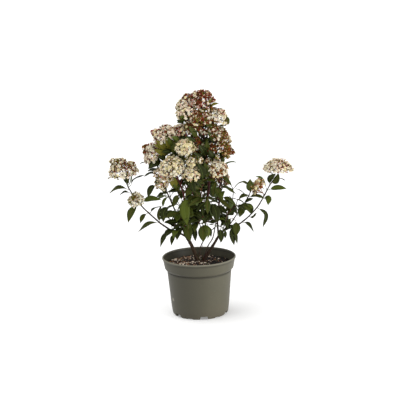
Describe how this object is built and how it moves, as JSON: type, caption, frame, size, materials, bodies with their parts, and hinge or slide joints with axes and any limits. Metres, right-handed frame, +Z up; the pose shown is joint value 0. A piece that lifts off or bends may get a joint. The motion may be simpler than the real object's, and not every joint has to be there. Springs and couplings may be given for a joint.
{
  "type": "potted laurustinus shrub",
  "caption": "Flowering laurustinus shrub: forked woody stems, arching leafy sprays and domed heads of small pale blossom, in a round grey-green plastic nursery pot with a wide collar.",
  "frame": {"origin": "middle of the flat underside of the pot, which stands on the ground", "axes": "+Z up along the pot's axis, +X to the right and -Y towards the viewer at the shrub's front"},
  "size_m": [0.4739, 0.2118, 0.5799],
  "materials": {
    "pot_plastic": "satin",
    "compost": "matte",
    "bark": "matte",
    "blossom": "matte",
    "foliage": "satin"
  },
  "bodies": {
    "root": {"pot": "pot_plastic", "soil": "compost", "left_stem": "bark", "right_stem": "bark", "back_left_stem": "bark", "back_right_stem": "bark", "centre_bough": "bark", "left_bough": "bark", "centre_left_bough": "bark", "far_left_bough": "bark", "upper_left_bough": "bark", "right_bough": "bark", "far_right_bough": "bark", "far_left_spray": "blossom", "left_spray": "blossom", "upper_left_spray": "blossom", "centre_left_spray": "blossom", "upper_right_spray": "blossom", "crown_spray": "blossom", "right_spray": "blossom", "far_right_spray": "blossom", "back_left_spray": "blossom", "back_right_spray": "blossom", "back_centre_spray": "blossom", "right_inner_spray": "foliage", "middle_skirt_spray": "foliage", "left_skirt_spray": "foliage", "centre_skirt_spray": "foliage", "right_skirt_spray": "foliage", "back_skirt_spray": "foliage"}
  },
  "joints": []
}
